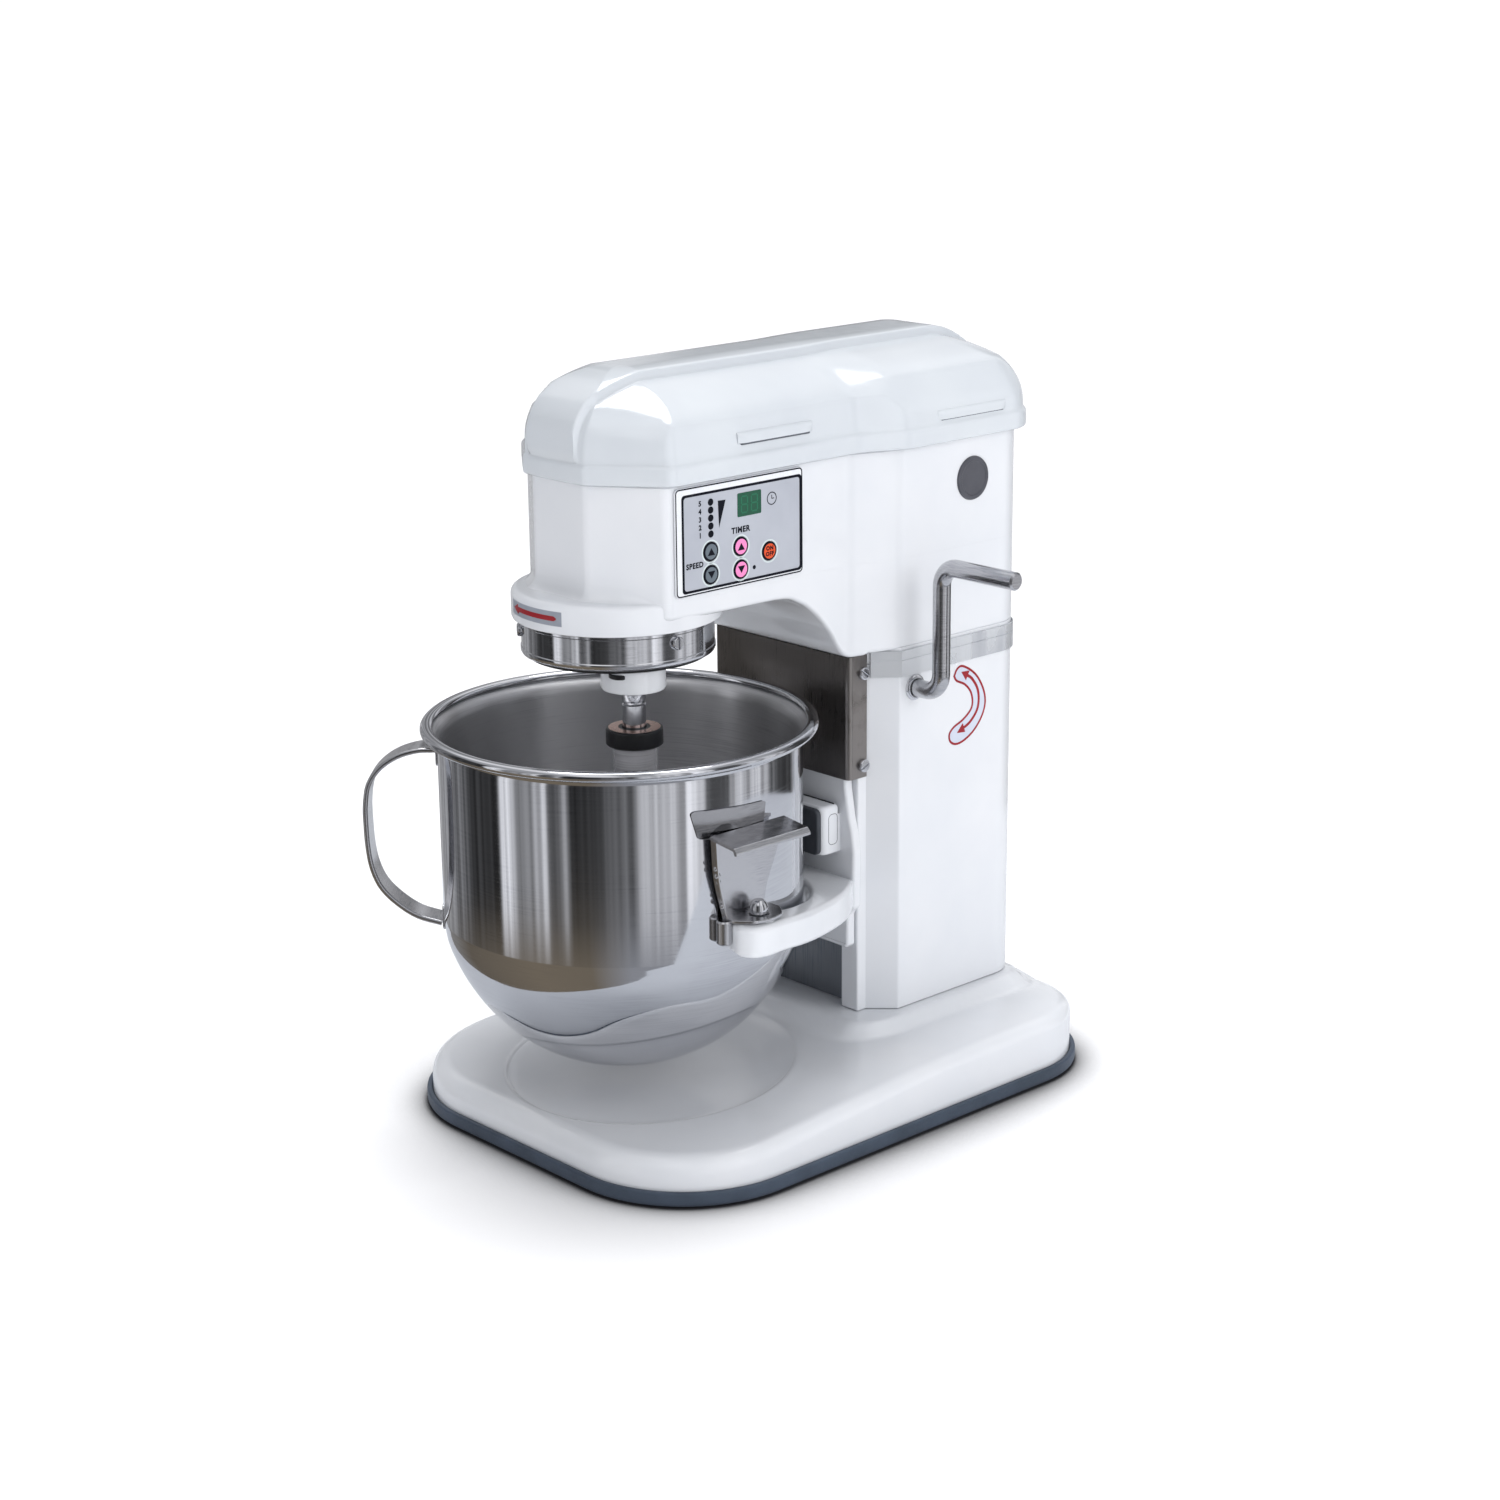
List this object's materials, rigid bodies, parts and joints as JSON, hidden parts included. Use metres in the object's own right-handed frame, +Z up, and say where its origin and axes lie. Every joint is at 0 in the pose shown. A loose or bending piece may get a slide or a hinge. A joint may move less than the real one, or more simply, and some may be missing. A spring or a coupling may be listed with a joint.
{
  "type": "stand mixer",
  "caption": "Bench planetary stand mixer: column with crank-lifted fork that holds a steel bowl by its ears, overhanging head with flat beater, key panel on one side.",
  "frame": {"origin": "on the floor plane, in the plane of symmetry, just in front of the column, on the flat rubber underside", "axes": "+Z up, -Y towards the bowl and the person using it, +X towards the key panel and the crank"},
  "size_m": [0.2704, 0.3713, 0.4215],
  "materials": {
    "enamel": "gloss white enamel",
    "cover_plastic": "gloss white moulding",
    "base_rubber": "blue-grey moulded rubber",
    "bowl_steel": "polished outside, brushed inside",
    "bright_steel": "polished",
    "guard_steel": "brushed",
    "cast_alloy": "as cast",
    "black_plastic": "satin",
    "plug_plastic": "satin",
    "panel_film": "satin printed film",
    "display_window": "smoked green",
    "bronze": "machined",
    "circuit_board": "resist coated",
    "slate_key": "satin",
    "pink_key": "satin",
    "red_key": "satin"
  },
  "bodies": {
    "machine": {"base_casting": "enamel", "base_cover_plate": "guard_steel", "base_rubber_mat": "base_rubber", "base_screw_1": "bright_steel", "base_screw_2": "bright_steel", "base_screw_3": "bright_steel", "base_screw_4": "bright_steel", "bearing_housing": "cast_alloy", "brush_plug_left": "plug_plastic", "brush_plug_right": "plug_plastic", "column_band": "bright_steel", "column_housing": "enamel", "column_slot_plate": "guard_steel", "crank_bush": "bronze", "drive_belt": "black_plastic", "guard_screw_left_high": "bright_steel", "guard_screw_left_low": "bright_steel", "guard_screw_right_high": "bright_steel", "guard_screw_right_low": "bright_steel", "head_housing": "enamel", "lower_bearing": "bright_steel", "motor_can": "plug_plastic", "motor_plate": "guard_steel", "panel_board": "circuit_board", "panel_display": "display_window", "panel_overlay": "panel_film", "planetary_ring": "bright_steel", "power_board": "circuit_board", "rear_power_inlet": "black_plastic", "ring_gear": "cast_alloy", "ring_screw_1": "bright_steel", "ring_screw_2": "bright_steel", "ring_screw_3": "bright_steel", "splash_guard": "guard_steel", "top_cover": "cover_plastic", "upper_bearing": "bright_steel"},
    "carrier": {"planet_carrier": "enamel", "large_pulley": "cast_alloy"},
    "planet": {"planet_gear": "bright_steel", "agitator_shaft": "bright_steel", "agitator_collar": "black_plastic", "flat_beater": "bright_steel"},
    "rotor": {"motor_shaft": "bright_steel", "motor_pulley": "cast_alloy"},
    "crank": {"crank_handle": "bright_steel", "lift_pinion": "bronze"},
    "yoke": {"bowl_yoke": "enamel", "lift_rack": "bright_steel", "bowl_rest_pad": "base_rubber", "locating_pin_right": "bright_steel", "locating_pin_left": "bright_steel"},
    "bowl": {"mixing_bowl": "bowl_steel", "bowl_handle": "bowl_steel", "bowl_bracket_right": "bowl_steel", "bowl_bracket_left": "bowl_steel"},
    "key_speed_up": {"button_speed_up": "slate_key"},
    "key_speed_down": {"button_speed_down": "slate_key"},
    "key_timer_up": {"button_timer_up": "pink_key"},
    "key_timer_down": {"button_timer_down": "pink_key"},
    "key_power": {"button_power": "red_key"}
  },
  "joints": [
    {"name": "carrier_spin", "type": "hinge", "parent": "machine", "child": "carrier", "pos_m": [0, -0.097, 0], "axis": [0, 0, 1], "continuous": true},
    {"name": "planet_spin", "type": "hinge", "parent": "carrier", "child": "planet", "pos_m": [0.02467, -0.10798, 0], "axis": [0, 0, 1], "continuous": true},
    {"name": "motor_spin", "type": "hinge", "parent": "machine", "child": "rotor", "pos_m": [0, 0.098, 0], "axis": [0, 0, 1], "continuous": true},
    {"name": "crank_turn", "type": "hinge", "parent": "machine", "child": "crank", "pos_m": [0, 0.061, 0.2315], "axis": [-1, 0, 0], "range_deg": [0, 150]},
    {"name": "bowl_lift", "type": "slide", "parent": "machine", "child": "yoke", "axis": [0, 0, 1], "range_m": [0, 0.01965]},
    {"name": "bowl_seat", "type": "slide", "parent": "yoke", "child": "bowl", "axis": [0, 0, 1], "range_m": [0, 0.0096]},
    {"name": "press_speed_up", "type": "slide", "parent": "machine", "child": "key_speed_up", "axis": [-1, 0, 0], "range_m": [0, 0.0008], "stiffness_N_per_m": 800, "springref_m": -0.0006},
    {"name": "press_speed_down", "type": "slide", "parent": "machine", "child": "key_speed_down", "axis": [-1, 0, 0], "range_m": [0, 0.0008], "stiffness_N_per_m": 800, "springref_m": -0.0006},
    {"name": "press_timer_up", "type": "slide", "parent": "machine", "child": "key_timer_up", "axis": [-1, 0, 0], "range_m": [0, 0.0008], "stiffness_N_per_m": 800, "springref_m": -0.0006},
    {"name": "press_timer_down", "type": "slide", "parent": "machine", "child": "key_timer_down", "axis": [-1, 0, 0], "range_m": [0, 0.0008], "stiffness_N_per_m": 800, "springref_m": -0.0006},
    {"name": "press_power", "type": "slide", "parent": "machine", "child": "key_power", "axis": [-1, 0, 0], "range_m": [0, 0.0008], "stiffness_N_per_m": 800, "springref_m": -0.0006}
  ],
  "couplings": [
    {"joint": "planet_spin", "follows": "carrier_spin", "ratio": -3},
    {"joint": "motor_spin", "follows": "carrier_spin", "ratio": 2.5},
    {"joint": "bowl_lift", "follows": "crank_turn", "m_per_rad": 0.0075}
  ]
}
